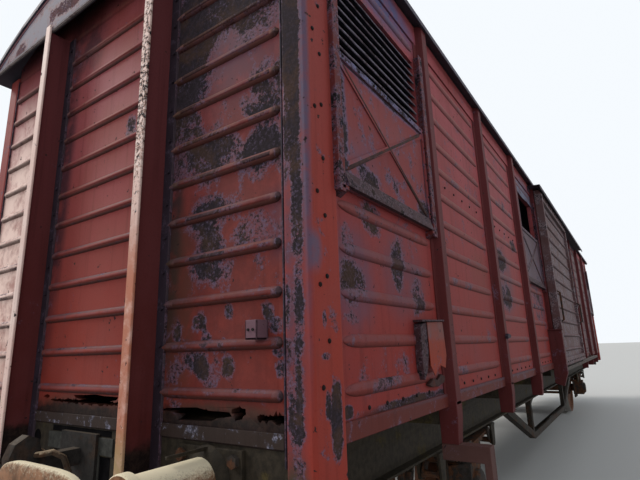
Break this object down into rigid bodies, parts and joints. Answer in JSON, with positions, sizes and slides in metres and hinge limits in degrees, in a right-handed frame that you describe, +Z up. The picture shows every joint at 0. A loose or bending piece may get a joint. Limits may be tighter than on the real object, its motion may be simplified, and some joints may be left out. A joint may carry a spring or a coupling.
{
  "type": "two-axle covered railway wagon with sliding doors",
  "caption": "Two-axle covered goods wagon with ridged steel walls, arched roof, sliding side doors, shuttered vents, buffers and screw couplings.",
  "frame": {"origin": "centre of the bounding box at its base, level with the lowest points of the wheel flanges", "axes": "+X along the wagon to the end shown nearest, +Y to its left side seen facing +X, +Z up"},
  "size_m": [14.02, 3.067, 3.94],
  "materials": {
    "body_red": "matt red-oxide paint, weathered",
    "body_worn": "peeled and rusted paint",
    "roof_grey": "matt grey, weathered",
    "floor_wood": "worn planks",
    "frame_dark": "matt, grimy",
    "running_gear": "rusty and oily",
    "wheel_steel": "worn tread, rusty web",
    "buffer_rust": "rusted"
  },
  "bodies": {
    "wagon": {"air_brake": "running_gear", "axle_guard_left_front": "frame_dark", "axle_guard_left_rear": "frame_dark", "axle_guard_right_front": "frame_dark", "axle_guard_right_rear": "frame_dark", "brake_rigging_front": "running_gear", "brake_rigging_rear": "running_gear", "buffer_left_front": "buffer_rust", "buffer_left_rear": "buffer_rust", "buffer_right_front": "buffer_rust", "buffer_right_rear": "buffer_rust", "door_hood_left": "body_red", "door_hood_right": "body_red", "door_track_left": "frame_dark", "door_track_right": "frame_dark", "draw_gear_front": "running_gear", "draw_gear_rear": "running_gear", "end_frame_front": "body_worn", "end_frame_rear": "body_worn", "end_wall_front": "body_red", "end_wall_rear": "body_red", "floor": "floor_wood", "roof": "roof_grey", "side_frame_left": "body_red", "side_frame_right": "body_red", "side_sheet_left_front": "body_red", "side_sheet_left_rear": "body_red", "side_sheet_right_front": "body_red", "side_sheet_right_rear": "body_red", "suspension_left_front": "running_gear", "suspension_left_rear": "running_gear", "suspension_right_front": "running_gear", "suspension_right_rear": "running_gear", "truss_left": "frame_dark", "truss_right": "frame_dark", "underframe": "frame_dark"},
    "door_left_body": {"door_left": "body_worn"},
    "door_right_body": {"door_right": "body_worn"},
    "shutter_left_1_body": {"shutter_left_1": "body_worn"},
    "shutter_left_2_body": {"shutter_left_2": "body_worn"},
    "shutter_left_3_body": {"shutter_left_3": "body_worn"},
    "shutter_left_4_body": {"shutter_left_4": "body_worn"},
    "shutter_right_1_body": {"shutter_right_1": "body_worn"},
    "shutter_right_2_body": {"shutter_right_2": "body_worn"},
    "shutter_right_3_body": {"shutter_right_3": "body_worn"},
    "shutter_right_4_body": {"shutter_right_4": "body_worn"},
    "wheelset_front_body": {"wheelset_front": "wheel_steel"},
    "wheelset_rear_body": {"wheelset_rear": "wheel_steel"}
  },
  "joints": [
    {"name": "wheelset_front_roll", "type": "hinge", "parent": "wagon", "child": "wheelset_front_body", "pos_m": [4, 0, 0.53], "axis": [0, 1, 0], "continuous": true},
    {"name": "wheelset_rear_roll", "type": "hinge", "parent": "wagon", "child": "wheelset_rear_body", "pos_m": [-4, 0, 0.53], "axis": [0, 1, 0], "continuous": true},
    {"name": "door_left_slide", "type": "slide", "parent": "wagon", "child": "door_left_body", "axis": [-1, 0, 0], "range_m": [0, 2.5]},
    {"name": "door_right_slide", "type": "slide", "parent": "wagon", "child": "door_right_body", "axis": [1, 0, 0], "range_m": [0, 2.5]},
    {"name": "shutter_left_1_lift", "type": "slide", "parent": "wagon", "child": "shutter_left_1_body", "axis": [0, 0, 1], "range_m": [0, 0.48]},
    {"name": "shutter_left_2_lift", "type": "slide", "parent": "wagon", "child": "shutter_left_2_body", "axis": [0, 0, 1], "range_m": [0, 0.48]},
    {"name": "shutter_left_3_lift", "type": "slide", "parent": "wagon", "child": "shutter_left_3_body", "axis": [0, 0, 1], "range_m": [0, 0.48]},
    {"name": "shutter_left_4_lift", "type": "slide", "parent": "wagon", "child": "shutter_left_4_body", "axis": [0, 0, 1], "range_m": [0, 0.48]},
    {"name": "shutter_right_1_lift", "type": "slide", "parent": "wagon", "child": "shutter_right_1_body", "axis": [0, 0, 1], "range_m": [0, 0.48]},
    {"name": "shutter_right_2_lift", "type": "slide", "parent": "wagon", "child": "shutter_right_2_body", "axis": [0, 0, 1], "range_m": [0, 0.48]},
    {"name": "shutter_right_3_lift", "type": "slide", "parent": "wagon", "child": "shutter_right_3_body", "axis": [0, 0, 1], "range_m": [0, 0.48]},
    {"name": "shutter_right_4_lift", "type": "slide", "parent": "wagon", "child": "shutter_right_4_body", "axis": [0, 0, 1], "range_m": [0, 0.48]}
  ]
}
